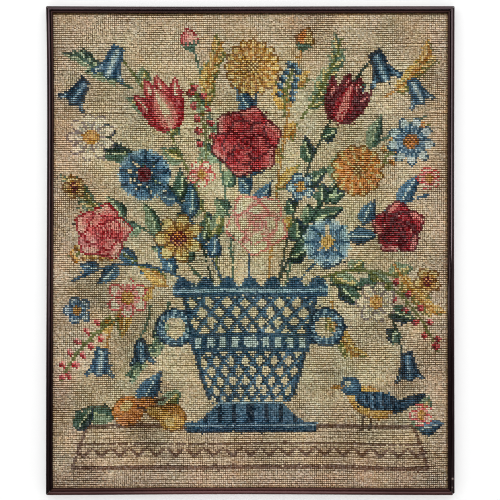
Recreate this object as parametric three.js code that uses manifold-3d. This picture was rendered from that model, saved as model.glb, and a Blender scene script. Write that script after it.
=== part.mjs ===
// A needlepoint panel in a narrow dark wood frame, hung upright on a wall.
//
// The cloth is one stretched sheet of canvas, worked edge to edge in wool. It sits in the rebate of four
// mitred lengths of moulding. Units are millimetres. +Z is up, the worked face looks along -Y, and the
// frame's back lies on the plane y = 0. The origin is on that back, in the middle of the top rail.

import * as THREE from "three";
import { mergeVertices } from "three/addons/utils/BufferGeometryUtils.js";
import Module from "manifold-3d";

const wasm = await Module();
wasm.setup();

// ---------------------------------------------------------------- driving dimensions

// The canvas has 8 holes to the inch, and each hole takes one cross stitch.
const STITCH = 25.4 / 8;
const STITCH_COLUMNS = 192;
const STITCH_ROWS = 231;
const SIGHT_WIDTH = STITCH_COLUMNS * STITCH;
const SIGHT_HEIGHT = STITCH_ROWS * STITCH;

// The moulding's section, measured across its face from the outer edge and forward from its back.
const MOULDING = {
  face: 9.8,
  depth: 20,
  rebateWall: 4.8,
  lipBack: 13.6,
  sightEdge: 15.6,
  grooveFloor: 15.2,
  outerBead: { width: 5, spring: 16.2 },
  innerBead: { width: 3.4, crown: 17.6 },
};
const BEAD_STEPS = 8;
const RAIL_STEPS = 24;

const FRAME_WIDTH = SIGHT_WIDTH + 2 * MOULDING.face;
const FRAME_HEIGHT = SIGHT_HEIGHT + 2 * MOULDING.face;
const FRAME_TOP = MOULDING.rebateWall / 2;
const FRAME_BOTTOM = FRAME_TOP - FRAME_HEIGHT;

// Each side of the old frame has drawn in a little. `draw` is how far, and `peak` is where along the side
// it is greatest, as a share from the top or from the left.
const BOW = {
  left: { draw: 1.7, peak: 0.24 },
  right: { draw: 0.6, peak: 0.44 },
  top: { draw: 0.6, peak: 0.36 },
  bottom: { draw: 1.3, peak: 0.46 },
};

// Worn corners are rounded to these radii. The lower right one has lost a chip instead.
const CORNER_RADIUS = { topLeft: 2.4, topRight: 2.0, bottomLeft: 2.6 };
// The chip's broken edge, as steps in from the corner along the bottom rail and up the right one.
const CHIP_EDGE = [
  { along: 3.6, up: 0 },
  { along: 3.3, up: 1.5 },
  { along: 2.3, up: 1.9 },
  { along: 1.9, up: 3.1 },
  { along: 0.7, up: 3.4 },
  { along: 0, up: 3.9 },
];

// Cloth: canvas and wool together, caught under the frame's lip all round.
const CLOTH = { thickness: 2.6, underLip: 4, edgeCells: 1 };
const CLOTH_COLUMNS = 32;
const CLOTH_ROWS = 38;

// Where the stretched cloth has slackened and stands a little off its plane. `across` and `up` are shares of
// the half width and half height from the middle, `wide` and `high` the reach as such shares, `lift` in mm.
const COCKLES = [
  { across: -0.62, up: 0.55, wide: 0.45, high: 0.3, lift: 0.8 },
  { across: 0.1, up: 0.72, wide: 0.5, high: 0.22, lift: -0.6 },
  { across: 0.58, up: 0.3, wide: 0.36, high: 0.42, lift: 0.7 },
  { across: -0.3, up: -0.08, wide: 0.42, high: 0.34, lift: -0.7 },
  { across: 0.28, up: -0.42, wide: 0.5, high: 0.3, lift: 0.6 },
  { across: -0.55, up: -0.7, wide: 0.4, high: 0.24, lift: 0.5 },
];

// Pieces that touch stand this far apart.
const FIT_GAP = 0.3;
// How far a cutter runs past what it cuts.
const PAST = 2;

// ---------------------------------------------------------------- finishes

const darkWood = new THREE.MeshStandardMaterial({
  name: "dark_wood",
  color: 0x2e1d1d,
  roughness: 0.38,
  metalness: 0,
});
const wool = new THREE.MeshStandardMaterial({
  name: "needlepoint_wool",
  color: 0x9e8b70,
  roughness: 0.95,
  metalness: 0,
});

// ---------------------------------------------------------------- solids and geometry

/** A closed three.js geometry as a solid that can be cut. */
function toSolid(geometry) {
  const bare = geometry.clone();
  bare.deleteAttribute("normal");
  bare.deleteAttribute("uv");
  const merged = mergeVertices(bare, 1e-4);
  return new wasm.Manifold(
    new wasm.Mesh({
      numProp: 3,
      vertProperties: new Float32Array(merged.attributes.position.array),
      triVerts: new Uint32Array(merged.index.array),
    }),
  );
}

/** A cut solid back as a three.js geometry. */
function toGeometry(solid) {
  const mesh = solid.getMesh();
  const geometry = new THREE.BufferGeometry();
  geometry.setAttribute("position", new THREE.BufferAttribute(mesh.vertProperties, 3));
  geometry.setIndex(new THREE.BufferAttribute(mesh.triVerts, 1));
  geometry.computeVertexNormals();
  return geometry;
}

/** A flat outline given in (x, z), run right through the frame from behind its back to past its front. */
function throughPrism(outline) {
  const depth = MOULDING.depth + 2 * PAST;
  const prism = new THREE.ExtrudeGeometry(outline, { depth, bevelEnabled: false });
  // The outline's y becomes z, so the prism runs along -Y.
  prism.rotateX(Math.PI / 2);
  prism.translate(0, PAST, 0);
  return toSolid(prism);
}

/** How far a drawn-in side stands in from straight, at a share of its length. It is nothing at both ends. */
function drawnIn({ draw, peak }, share) {
  const t = THREE.MathUtils.clamp(share, 0, 1);
  const power = Math.log(0.5) / Math.log(peak);
  return draw * Math.sin(Math.PI * t ** power) ** 2;
}

/** Moves every point as the frame's sides have drawn in, by less and less towards the opposite side. */
function warp(geometry) {
  const position = geometry.attributes.position;
  for (let i = 0; i < position.count; i += 1) {
    const x = position.getX(i);
    const z = position.getZ(i);
    const fromLeft = x / FRAME_WIDTH + 0.5;
    const fromTop = (FRAME_TOP - z) / FRAME_HEIGHT;
    const inX =
      drawnIn(BOW.left, fromTop) * (1 - fromLeft) - drawnIn(BOW.right, fromTop) * fromLeft;
    const inZ =
      drawnIn(BOW.bottom, fromLeft) * fromTop - drawnIn(BOW.top, fromLeft) * (1 - fromTop);
    position.setX(i, x + inX);
    position.setZ(i, z + inZ);
  }
  return geometry;
}

// ---------------------------------------------------------------- frame

/** The moulding's section: x across the face from the outer edge, y forward from the back. */
function mouldingSection() {
  const m = MOULDING;
  const outer = m.outerBead.width / 2;
  const inner = m.innerBead.width / 2;
  const section = new THREE.Shape();
  section.moveTo(0, 0);
  section.lineTo(m.rebateWall, 0);
  section.lineTo(m.rebateWall, m.lipBack);
  section.lineTo(m.face, m.lipBack);
  section.lineTo(m.face, m.sightEdge);
  section.absellipse(m.face - inner, m.sightEdge, inner, m.innerBead.crown - m.sightEdge, 0, Math.PI);
  section.lineTo(m.face - m.innerBead.width, m.grooveFloor);
  section.lineTo(m.outerBead.width, m.grooveFloor);
  section.lineTo(m.outerBead.width, m.outerBead.spring);
  section.absellipse(outer, m.outerBead.spring, outer, m.depth - m.outerBead.spring, 0, Math.PI);
  section.closePath();
  return section;
}

/** One length of moulding before its corners are cut, from the corner at `start` along `along`. */
function railBlank({ start, across, along, length }) {
  const forward = new THREE.Vector3(0, -1, 0);
  const blank = new THREE.ExtrudeGeometry(mouldingSection(), {
    depth: length,
    steps: RAIL_STEPS,
    curveSegments: BEAD_STEPS,
    bevelEnabled: false,
  });
  blank.applyMatrix4(new THREE.Matrix4().makeBasis(across, forward, along).setPosition(start));
  return toSolid(warp(blank));
}

/** The wedge that a rail keeps between its two mitres, each set back by half the joint's gap. */
function mitreWedge({ start, across, along, length }) {
  const setBack = FIT_GAP * Math.SQRT1_2;
  const reach = MOULDING.face + PAST;
  const at = (fromStart, inward) =>
    start.clone().addScaledVector(along, fromStart).addScaledVector(across, inward);
  const corners = [
    at(setBack - PAST, -PAST),
    at(length - setBack + PAST, -PAST),
    at(length - setBack - reach, reach),
    at(setBack + reach, reach),
  ];
  return throughPrism(new THREE.Shape(corners.map((p) => new THREE.Vector2(p.x, p.z))));
}

/** What wear has taken off a corner, in local steps: x in from the side edge, y in from the top or bottom. */
function wornCorner(radius) {
  const worn = new THREE.Shape();
  worn.moveTo(radius, -PAST);
  worn.lineTo(radius, 0);
  worn.absarc(radius, radius, radius, -Math.PI / 2, -Math.PI, true);
  worn.lineTo(-PAST, radius);
  worn.lineTo(-PAST, -PAST);
  worn.closePath();
  return worn;
}

/** The chip lost from the lower right corner, in the same local steps. */
function chippedCorner() {
  const last = CHIP_EDGE[CHIP_EDGE.length - 1];
  const points = [
    new THREE.Vector2(CHIP_EDGE[0].along, -PAST),
    ...CHIP_EDGE.map(({ along, up }) => new THREE.Vector2(along, up)),
    new THREE.Vector2(-PAST, last.up),
    new THREE.Vector2(-PAST, -PAST),
  ];
  return new THREE.Shape(points);
}

/** A corner's cutter, its local steps turned to point into the frame from that corner. */
function cornerCutter(local, side, end) {
  const points = local.extractPoints(BEAD_STEPS).shape.map(
    (p) =>
      new THREE.Vector2(
        side * (FRAME_WIDTH / 2 - p.x),
        end > 0 ? FRAME_TOP - p.y : FRAME_BOTTOM + p.y,
      ),
  );
  return throughPrism(new THREE.Shape(points));
}

const cornerCutters = [
  cornerCutter(wornCorner(CORNER_RADIUS.topLeft), -1, 1),
  cornerCutter(wornCorner(CORNER_RADIUS.topRight), 1, 1),
  cornerCutter(wornCorner(CORNER_RADIUS.bottomLeft), -1, -1),
  cornerCutter(chippedCorner(), 1, -1),
];

const RIGHT = new THREE.Vector3(1, 0, 0);
const LEFT = new THREE.Vector3(-1, 0, 0);
const UP = new THREE.Vector3(0, 0, 1);
const DOWN = new THREE.Vector3(0, 0, -1);
const cornerAt = (side, height) => new THREE.Vector3((side * FRAME_WIDTH) / 2, 0, height);

// Each rail runs so that across, forward and along make a right-handed set.
const RAILS = {
  frame_top: { start: cornerAt(1, FRAME_TOP), across: DOWN, along: LEFT, length: FRAME_WIDTH },
  frame_bottom: { start: cornerAt(-1, FRAME_BOTTOM), across: UP, along: RIGHT, length: FRAME_WIDTH },
  frame_left: { start: cornerAt(-1, FRAME_TOP), across: RIGHT, along: DOWN, length: FRAME_HEIGHT },
  frame_right: { start: cornerAt(1, FRAME_BOTTOM), across: LEFT, along: UP, length: FRAME_HEIGHT },
};

/** A finished rail: its blank, mitred at both ends and worn at its corners. */
function rail(place) {
  const mitred = railBlank(place).intersect(mitreWedge(place));
  return toGeometry(cornerCutters.reduce((solid, cutter) => solid.subtract(cutter), mitred));
}

// ---------------------------------------------------------------- cloth

const CLOTH_WIDTH = SIGHT_WIDTH + 2 * CLOTH.underLip;
const CLOTH_HEIGHT = SIGHT_HEIGHT + 2 * CLOTH.underLip;
const CLOTH_MIDDLE = (FRAME_TOP + FRAME_BOTTOM) / 2;
const CLOTH_FRONT = MOULDING.lipBack - FIT_GAP;

/** How far the slack cloth stands forward of its plane. It is held flat where the lip covers it. */
function slack(x, z) {
  const across = x / (SIGHT_WIDTH / 2);
  const up = (z - CLOTH_MIDDLE) / (SIGHT_HEIGHT / 2);
  const held =
    THREE.MathUtils.clamp((1 - Math.abs(across)) / 0.12, 0, 1) *
    THREE.MathUtils.clamp((1 - Math.abs(up)) / 0.1, 0, 1);
  const sum = COCKLES.reduce((lift, c) => {
    const away = ((across - c.across) / c.wide) ** 2 + ((up - c.up) / c.high) ** 2;
    return lift + c.lift * Math.exp(-away);
  }, 0);
  return sum * held;
}

/** The stretched cloth: one thin slab whose two faces follow its slack. */
function cloth() {
  const slab = new THREE.BoxGeometry(
    CLOTH_WIDTH,
    CLOTH.thickness,
    CLOTH_HEIGHT,
    CLOTH_COLUMNS,
    CLOTH.edgeCells,
    CLOTH_ROWS,
  );
  slab.translate(0, CLOTH.thickness / 2 - CLOTH_FRONT, CLOTH_MIDDLE);
  const position = slab.attributes.position;
  for (let i = 0; i < position.count; i += 1) {
    position.setY(i, position.getY(i) - slack(position.getX(i), position.getZ(i)));
  }
  return toGeometry(toSolid(warp(slab)));
}

// ---------------------------------------------------------------- the panel

const panel = new THREE.Group();
panel.name = "needlepoint_panel";

/** Adds one named piece. */
function addPiece(name, geometry, material) {
  const mesh = new THREE.Mesh(geometry, material);
  mesh.name = name;
  panel.add(mesh);
}

addPiece("needlepoint_cloth", cloth(), wool);
for (const [name, place] of Object.entries(RAILS)) {
  addPiece(name, rail(place), darkWood);
}

export default panel;
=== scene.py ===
"""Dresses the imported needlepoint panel: worked canvas, worn moulding, studio and camera.

The design is first charted on squared paper. Each square is then worked as one cross stitch of real wool
strands on the canvas that the frame model holds.
"""

import logging
import math
from collections.abc import Callable
from dataclasses import dataclass
from enum import Enum
from typing import Any, Protocol

import bpy
import numpy as np
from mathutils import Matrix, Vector
from mathutils.bvhtree import BVHTree


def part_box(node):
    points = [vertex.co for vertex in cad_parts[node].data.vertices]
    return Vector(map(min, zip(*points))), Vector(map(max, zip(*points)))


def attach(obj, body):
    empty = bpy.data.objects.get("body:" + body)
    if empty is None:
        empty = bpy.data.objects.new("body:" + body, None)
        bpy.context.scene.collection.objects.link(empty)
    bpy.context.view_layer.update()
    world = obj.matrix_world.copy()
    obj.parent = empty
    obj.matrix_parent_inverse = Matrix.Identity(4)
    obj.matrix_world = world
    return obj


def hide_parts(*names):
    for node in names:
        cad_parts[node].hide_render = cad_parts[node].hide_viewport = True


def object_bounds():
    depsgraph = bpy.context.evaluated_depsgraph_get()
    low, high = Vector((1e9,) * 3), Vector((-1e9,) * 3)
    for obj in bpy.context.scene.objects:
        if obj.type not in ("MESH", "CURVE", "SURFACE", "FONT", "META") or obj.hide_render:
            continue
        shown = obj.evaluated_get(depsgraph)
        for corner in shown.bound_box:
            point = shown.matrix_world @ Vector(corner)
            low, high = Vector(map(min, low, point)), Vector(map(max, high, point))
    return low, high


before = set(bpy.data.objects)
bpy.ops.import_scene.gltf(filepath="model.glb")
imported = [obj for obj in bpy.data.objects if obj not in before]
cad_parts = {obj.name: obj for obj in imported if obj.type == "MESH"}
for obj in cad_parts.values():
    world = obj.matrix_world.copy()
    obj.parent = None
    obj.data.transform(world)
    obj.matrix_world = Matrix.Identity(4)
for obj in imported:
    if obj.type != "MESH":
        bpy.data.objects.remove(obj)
CAD_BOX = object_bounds()

LOG = logging.getLogger("needlepoint")
Grid = np.ndarray
Point = tuple[float, float]
Triple = tuple[float, float, float]

BODY = "root"
CLOTH_NODE = "needlepoint_cloth"
MM = 0.001

# The canvas has 8 holes to the inch. The frame's opening shows this many stitches, and one more all round
# lies under the frame's lip.
PITCH = 25.4 * MM / 8
UNDER_LIP = 1
COLUMNS = 192
ROWS = 231
ALL_COLUMNS = COLUMNS + 2 * UNDER_LIP
ALL_ROWS = ROWS + 2 * UNDER_LIP
SEED = 1874
STRAY_SHARE = 0.09
STEM_MOUTH = 96


# ---------------------------------------------------------------- the chart


def wander(rng: np.random.Generator, s: Grid, t: Grid, waves: float, count: int = 5) -> Grid:
    """A smooth field over the cloth, about 0 with a spread of 1.

    Args:
        rng: where its draws come from.
        s: shares of the way across.
        t: shares of the way up.
        waves: about how many waves there are across.
        count: how many waves are added up.

    Returns:
        The field's value at each point.
    """
    total = np.zeros(np.shape(s))
    for _ in range(count):
        way, phase = rng.uniform(0, math.tau, 2)
        rate = waves * rng.uniform(0.5, 1.3) * math.tau
        total += np.sin(rate * (s * math.cos(way) + t * math.sin(way) * ROWS / COLUMNS) + phase)
    return total / math.sqrt(count / 2)


class Skein(Enum):
    """The families of wool, each of which is worked as pieces of its own."""

    GROUND = "ground"
    BROWN = "brown"
    BLUE = "blue"
    RED = "red"
    GOLD = "gold"
    GREEN = "green"
    CREAM = "cream"


class Wool(Enum):
    """Each dyed wool: its family, and its colour on a stitch's crest in sRGB bytes."""

    TAN = (Skein.GROUND, (209, 191, 160))
    TAN_PALE = (Skein.GROUND, (217, 202, 175))
    TAN_WARM = (Skein.GROUND, (213, 190, 157))
    TAN_GREY = (Skein.GROUND, (202, 188, 159))
    TAN_DEEP = (Skein.GROUND, (198, 178, 144))
    STONE = (Skein.BROWN, (215, 196, 164))
    FAWN = (Skein.BROWN, (192, 170, 138))
    BROWN = (Skein.BROWN, (126, 100, 80))
    UMBER = (Skein.BROWN, (84, 66, 50))
    NAVY = (Skein.BLUE, (24, 48, 64))
    INDIGO = (Skein.BLUE, (48, 82, 104))
    BLUE = (Skein.BLUE, (86, 120, 142))
    SKY = (Skein.BLUE, (144, 168, 178))
    ICE = (Skein.BLUE, (192, 204, 200))
    MAROON = (Skein.RED, (98, 26, 34))
    CRIMSON = (Skein.RED, (156, 34, 44))
    RED = (Skein.RED, (180, 50, 56))
    ROSE = (Skein.RED, (204, 92, 90))
    PINK = (Skein.RED, (222, 144, 134))
    BLUSH = (Skein.RED, (230, 184, 164))
    BRONZE = (Skein.GOLD, (128, 90, 38))
    OCHRE = (Skein.GOLD, (180, 132, 60))
    ORANGE = (Skein.GOLD, (214, 146, 74))
    GOLD = (Skein.GOLD, (212, 174, 94))
    STRAW = (Skein.GOLD, (224, 202, 142))
    BOTTLE = (Skein.GREEN, (32, 54, 46))
    GREEN = (Skein.GREEN, (74, 100, 84))
    OLIVE = (Skein.GREEN, (110, 114, 62))
    SAGE = (Skein.GREEN, (140, 154, 126))
    LEAF = (Skein.GREEN, (190, 196, 160))
    IVORY = (Skein.CREAM, (234, 220, 192))
    CREAM = (Skein.CREAM, (220, 204, 172))
    ASH = (Skein.CREAM, (170, 166, 150))
    MAUVE = (Skein.CREAM, (136, 122, 118))


WOOLS: tuple[Wool, ...] = tuple(Wool)
Run = tuple[Wool, ...]


def run_of(names: str) -> Run:
    """The wools with these names, in their order."""
    return tuple(Wool[name] for name in names.split())


# Runs of shades, from the edge or the shadow to the light.
TAN_RUN = run_of("TAN_DEEP TAN_GREY TAN TAN_WARM TAN_PALE")
RED_RUN = run_of("MAROON CRIMSON RED ROSE PINK")
PINK_RUN = run_of("CRIMSON ROSE PINK BLUSH")
MAROON_RUN = run_of("MAROON MAROON CRIMSON PINK")
GOLD_RUN = run_of("BRONZE OCHRE GOLD STRAW")
ORANGE_RUN = run_of("BRONZE ORANGE ORANGE STRAW")
BLUE_RUN = run_of("NAVY INDIGO BLUE SKY")
PALE_BLUE_RUN = run_of("INDIGO BLUE SKY ICE")
CREAM_RUN = run_of("MAUVE ASH CREAM IVORY")
BLUSH_RUN = run_of("ROSE PINK BLUSH IVORY")
CREAM_ROSE_RUN = run_of("PINK BLUSH CREAM IVORY")
GREEN_LEAF = run_of("BOTTLE GREEN SAGE LEAF")
BLUE_LEAF = run_of("NAVY INDIGO BLUE ICE")
TEAL_LEAF = run_of("NAVY BOTTLE GREEN LEAF")
OLIVE_LEAF = run_of("GREEN OLIVE SAGE STRAW")
GOLD_LEAF = run_of("OLIVE OCHRE GOLD STRAW")


class Chart:
    """The design as charted on squared paper: a wool for each stitch."""

    def __init__(self, columns: int, rows: int, margin: int) -> None:
        """Starts a bare chart of this size, with a margin of stitches below the lowest row that shows."""
        self.wool: Grid = np.zeros((rows, columns), dtype=int)
        self.x, self.y = np.meshgrid(np.arange(columns) - (columns - 1) / 2, np.arange(rows) - margin)

    def lay(self, *worked: tuple[Grid, Wool]) -> None:
        """Works every stitch of each mask in one wool, a later mask over an earlier one."""
        for where, wool in worked:
            self.wool[where] = WOOLS.index(wool)

    def shade(self, where: Grid, depth: Grid, run: Run) -> None:
        """Works a mask in a run of shades, from the first where the depth is 0 to the last where it is 1."""
        step = np.clip((depth * len(run)).astype(int), 0, len(run) - 1)
        self.lay(*((where & (step == i), wool) for i, wool in enumerate(run)))

    def stray(self, share: float, seed: int) -> None:
        """Works a share of the stitches in a neighbour's wool, as a hand that miscounts would.

        Args:
            share: the share of the stitches.
            seed: where the draws start.
        """
        rng = np.random.default_rng(seed)
        rows, columns = self.wool.shape
        j, i = np.mgrid[0:rows, 0:columns]
        j = np.clip(j + rng.integers(-1, 2, j.shape), 0, rows - 1)
        i = np.clip(i + rng.integers(-1, 2, i.shape), 0, columns - 1)
        self.wool = np.where(rng.random(self.wool.shape) < share, self.wool[j, i], self.wool)

    def local(self, x: float, y: float, turn: float) -> tuple[Grid, Grid]:
        """Distances along and across a motif that starts at a stitch and points a given way.

        Args:
            x: the start's column, counted from the middle.
            y: the start's row, counted from the bottom.
            turn: its heading in degrees, 0 to the right and 90 upwards.

        Returns:
            The distance along the heading and the distance to its left, for each stitch.
        """
        c, s = math.cos(math.radians(turn)), math.sin(math.radians(turn))
        dx, dy = self.x - x, self.y - y
        return dx * c + dy * s, dy * c - dx * s

    def polar(self, x: float, y: float, turn: float = 0.0) -> tuple[Grid, Grid]:
        """Distance from a stitch, and the angle round it in turns from a heading in degrees."""
        u, v = self.local(x, y, turn)
        return np.hypot(u, v), np.arctan2(v, u) / math.tau


def lobes(theta: Grid, count: int, shift: float = 0.0) -> Grid:
    """Waves round a flower, 0 along the middle of each of its petals and 1 between two of them."""
    return np.abs((theta * count + shift) % 1.0 - 0.5) * 2


def swell(s: Grid, power: float) -> Grid:
    """The half width of a form that is pointed at both ends, as a share of its greatest."""
    return np.sin(math.pi * np.clip(s, 0, 1) ** power)


class Motif(Protocol):
    """Anything that can be worked on a chart. Its lengths are counted in stitches."""

    def work(self, chart: Chart) -> None:
        """Works the motif's stitches."""


@dataclass(frozen=True)
class Growing:
    """A motif that grows from a stitch along its heading in degrees."""

    x: float
    y: float
    turn: float
    size: float
    run: Run

    def along(self, chart: Chart, lean: float = 0.0) -> tuple[Grid, Grid]:
        """The distance along the heading as a share of the motif's size, and the distance to its left."""
        u, v = chart.local(self.x, self.y, self.turn + lean)
        return u / self.size, v

    def fill(self, chart: Chart, inside: Grid, v: Grid, half: Grid, depth: Grid, rim: float) -> None:
        """Shades a shape and darkens its rim.

        Args:
            chart: what it is worked on.
            inside: the shape's stitches.
            v: each stitch's distance from its middle line.
            half: its half width there.
            depth: how far up the run of shades each stitch lies.
            rim: how wide the dark rim is.
        """
        chart.shade(inside, np.where(np.abs(v) > half - rim, 0.0, depth), self.run)


@dataclass(frozen=True)
class Facing:
    """A round flower that is seen from the front."""

    x: float
    y: float
    radius: float
    run: Run
    petals: int
    turn: float = 0.0

    def around(self, chart: Chart) -> tuple[Grid, Grid]:
        """Each stitch's distance from the heart, and the angle round it in turns from the heading."""
        return chart.polar(self.x, self.y, self.turn)


@dataclass(frozen=True)
class Leaf(Growing):
    """A pointed leaf with a pale rib, one half of it in shadow."""

    width: float
    curl: float = 0.0

    def work(self, chart: Chart) -> None:
        """Works the leaf's stitches.

        Args:
            chart: the chart that it goes on.
        """
        s, v = self.along(chart)
        v = v - self.curl * self.size * s**2
        half = self.width * swell(s, 0.7) + 0.35
        depth = np.where(v > 0, 0.6, 0.3)
        depth = np.where((np.abs(v) > half - 1.0) & (v < 0), 0.0, depth)
        depth = np.where((np.abs(v) < 0.55) & (s > 0.12) & (s < 0.8), 0.9, depth)
        chart.shade((s > -0.02) & (s < 1.02) & (np.abs(v) <= half), depth, self.run)


@dataclass(frozen=True)
class Stem:
    """A thin stem that bends from one stitch to another, and may carry leaves on both sides."""

    start: Point
    end: Point
    bend: float = 0.0
    wool: Wool = Wool.GREEN
    leaves: int = 0
    leaf: float = 9.0
    leaf_width: float = 2.6
    run: Run = GREEN_LEAF
    spread: float = 48.0

    STEPS = 240
    CLEAR = 0.15

    def point(self, t: float) -> Point:
        """The place at a share of the stem's way.

        Args:
            t: the share.

        Returns:
            The column and the row there.
        """
        (ax, ay), (bx, by) = self.start, self.end
        mx = (ax + bx) / 2 - self.bend * (by - ay)
        my = (ay + by) / 2 + self.bend * (bx - ax)
        k = 1 - t
        return (k * k * ax + 2 * k * t * mx + t * t * bx, k * k * ay + 2 * k * t * my + t * t * by)

    def heading(self, t: float) -> float:
        """The way the stem points at a share of its way, in degrees."""
        (x0, y0), (x1, y1) = (self.point(t + step) for step in (-0.02, 0.02))
        return math.degrees(math.atan2(y1 - y0, x1 - x0))

    def work(self, chart: Chart) -> None:
        """Works the leaves first and the stem over their roots.

        Args:
            chart: the chart that it goes on.
        """
        for i in range(self.leaves):
            t = self.CLEAR + (0.9 - self.CLEAR) * (i + 0.5) / self.leaves
            side = 1 if i % 2 else -1
            size = self.leaf * (0.8 + 0.3 * math.sin(2.3 * i + self.leaf))
            turn = self.heading(t) + side * self.spread
            Leaf(*self.point(t), turn, size, self.run, self.leaf_width, -0.22 * side).work(chart)
        for t in np.linspace(0, 1, self.STEPS):
            x, y = self.point(t)
            chart.lay(((np.abs(chart.x - x) <= 0.5) & (np.abs(chart.y - y) <= 0.5), self.wool))


@dataclass(frozen=True)
class Rose(Facing):
    """A full rose: a ring of broad outer petals, an inner ring and a rolled heart."""

    # For each ring of overlapping petals, from the outside in: how many fewer it has than the first, each
    # one's middle and radius as shares of the flower's, the ring's turn, and how far up the run it starts.
    RINGS = ((0, 0.58, 0.44, 0, 0.28), (1, 0.32, 0.36, 31, 0.42))

    def work(self, chart: Chart) -> None:
        """Works the rings, then the heart.

        Args:
            chart: the chart that it goes on.
        """
        rho, theta = self.around(chart)
        for fewer, reach, size, shift, base in self.RINGS:
            petals = self.petals - fewer
            for i in range(petals):
                way = math.radians(self.turn + shift + 360 * i / petals)
                px = self.x + self.radius * reach * math.cos(way)
                py = self.y + self.radius * reach * math.sin(way)
                out, bearing = chart.polar(px, py, math.degrees(way))
                edge = self.radius * size * (1 + 0.07 * np.cos(bearing * math.tau * 5))
                depth = base + 0.62 * (rho / self.radius) ** 1.6 + 0.16 * np.sin(bearing * math.tau)
                depth = np.where(out > edge - 1.0, np.where(np.abs(bearing) < 0.17, 0.12, 0.02), depth)
                chart.shade(out <= edge, depth, self.run)
        roll = (rho / (self.radius * 0.14) + theta) % 1.0
        chart.shade(rho < self.radius * 0.33, roll * 0.75, self.run)


@dataclass(frozen=True)
class Marigold(Facing):
    """A many-petalled flower in rings of short petals round a dark eye."""

    RINGS = 3

    def work(self, chart: Chart) -> None:
        """Works the rings from the outside in, then the eye.

        Args:
            chart: the chart that it goes on.
        """
        rho, theta = self.around(chart)
        for ring in range(self.RINGS):
            size = self.radius * (1 - 0.27 * ring)
            middle = lobes(theta, self.petals - 2 * ring, 0.5 * ring)
            edge = size * (1 - 0.14 * middle**2)
            depth = 0.95 - 0.75 * middle**1.5 - 0.35 * (1 - rho / size)
            depth = np.where(rho > edge - 0.9, 0.05 if ring == 0 else 0.3, depth)
            chart.shade(rho <= edge, depth, self.run)
        eye = rho < self.radius * 0.2
        chart.lay((eye, Wool.BRONZE), (eye & ((chart.x + chart.y) % 2 < 1), self.run[-1]))


@dataclass(frozen=True)
class Daisy(Facing):
    """A single flower of separate petals round a bright heart."""

    heart: tuple[Wool, Wool] = (Wool.OCHRE, Wool.GOLD)

    def work(self, chart: Chart) -> None:
        """Works the petals, then the heart.

        Args:
            chart: the chart that it goes on.
        """
        rho, theta = self.around(chart)
        lobe = lobes(theta, self.petals)
        edge = self.radius * (1 - 0.38 * lobe**2.2)
        across = lobe * rho * math.pi / self.petals
        depth = 0.45 + 0.5 * (rho / self.radius)
        depth = np.where(lobe > 0.72, 0.2, depth)
        depth = np.where(rho > edge - 0.85, 0.0, depth)
        depth = np.where((across < 0.6) & (rho < self.radius * 0.62), 0.3, depth)
        chart.shade(rho <= edge, depth, self.run)
        core = self.radius * 0.27
        checks = (rho < core) & ((chart.x - chart.y) % 2 < 1)
        chart.lay((rho < core + 0.6, self.heart[0]), (checks, self.heart[1]))


@dataclass(frozen=True)
class Cornflower(Facing):
    """A ragged star of flared florets round a dark heart."""

    heart: Wool = Wool.MAROON

    def work(self, chart: Chart) -> None:
        """Works the florets, then the heart.

        Args:
            chart: the chart that it goes on.
        """
        rho, theta = self.around(chart)
        lobe = lobes(theta, self.petals)
        edge = self.radius * (0.9 + 0.1 * lobes(theta, self.petals * 3))
        flared = lobe < 0.35 + 0.65 * (rho / self.radius)
        depth = 0.2 + 0.75 * (rho / self.radius) ** 1.5 - 0.4 * lobe**3
        chart.shade((rho <= edge) & flared, depth, self.run)
        gaps = (rho < self.radius * 0.9) & (lobe > 0.86) & (rho > self.radius * 0.3)
        chart.lay((gaps, self.run[0]), (rho < self.radius * 0.26, self.heart))


@dataclass(frozen=True)
class Tulip(Growing):
    """A tulip seen from the side, its petals flamed in a lighter wool."""

    flame: Wool = Wool.IVORY

    # Each petal's lean from the flower's heading in degrees, its length and half width as shares of the
    # flower's size, and how far up the run of shades it starts. The furthest back comes first.
    PETALS = ((34, 0.98, 0.2, 0.0), (-34, 0.98, 0.2, 0.0), (13, 1.06, 0.23, 0.12), (-13, 1.06, 0.23, 0.12),
              (0, 0.9, 0.27, 0.3))

    def work(self, chart: Chart) -> None:
        """Works the petals from the back to the front.

        Args:
            chart: the chart that it goes on.
        """
        for lean, length, width, lift in self.PETALS:
            s, v = self.along(chart, lean)
            s = s / length
            v = v + math.copysign(0.12, lean) * self.size * s**2 * (lean != 0)
            half = self.size * width * swell(s, 0.62) ** 0.8
            inside = (s > 0) & (s < 1) & (np.abs(v) <= half + 0.3)
            across = np.abs(v) / np.maximum(half, 0.5)
            depth = lift + 0.62 * (1 - across) + 0.14 * np.sin(v * 2.4) * (1 - s)
            self.fill(chart, inside, v, half, depth, 0.8)
            chart.lay((inside & (across < 0.22) & (s > 0.3) & (s < 0.86), self.flame))


@dataclass(frozen=True)
class Bell(Growing):
    """A hanging bell with a scalloped mouth."""

    def work(self, chart: Chart) -> None:
        """Works the bell from its stalk to its mouth.

        Args:
            chart: the chart that it goes on.
        """
        s, v = self.along(chart)
        half = self.size * (0.2 + 0.16 * np.clip(s, 0, 1) + 0.22 * np.clip(s, 0, 1) ** 5)
        mouth = 1 + 0.07 * np.cos(v / self.size * 14)
        depth = 0.5 + 0.35 * np.cos(v / self.size * 17)
        depth = np.where(s < 0.12, 0.1, depth) * (s <= mouth - 0.9 / self.size)
        self.fill(chart, (s > 0) & (s < mouth) & (np.abs(v) <= half), v, half, depth, 0.9)


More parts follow.
